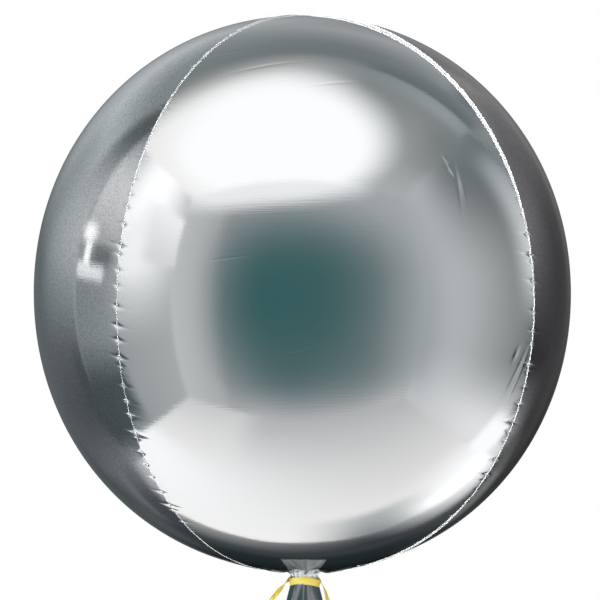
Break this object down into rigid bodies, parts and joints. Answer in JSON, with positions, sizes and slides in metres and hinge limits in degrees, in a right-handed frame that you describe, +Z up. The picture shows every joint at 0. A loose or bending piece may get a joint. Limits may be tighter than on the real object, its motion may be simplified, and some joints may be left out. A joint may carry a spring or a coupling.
{
  "type": "orb foil balloon",
  "caption": "Round foil balloon of heat-sealed film panels with a gathered neck, a flat filling tail and a ribbon tied round the neck.",
  "frame": {"origin": "the middle of the envelope, on the axis from the top pole to the neck, halfway between the top and bottom poles", "axes": "+Z up from the neck to the top pole; -Y is the way the front panel faces; +X is to the right when looking at the front panel"},
  "size_m": [0.381, 0.381, 0.4811],
  "materials": {
    "panel_film": "mirror bright metallised polyester film",
    "seam_film": "bright, finely creased heat seal",
    "tail_film": "bright metallised film, gathered and soft",
    "ribbon": "satin, finely ribbed curling ribbon"
  },
  "bodies": {
    "root": {"panel_front": "panel_film", "panel_right": "panel_film", "panel_back": "panel_film", "panel_left": "panel_film", "seam_front_right": "seam_film", "seam_back_right": "seam_film", "seam_back_left": "seam_film", "seam_front_left": "seam_film", "neck_gather": "tail_film", "tail_front": "tail_film", "tail_back": "tail_film", "ribbon_wrap": "ribbon", "ribbon_knot": "ribbon", "ribbon_end_left": "ribbon", "ribbon_end_right": "ribbon"}
  },
  "joints": []
}
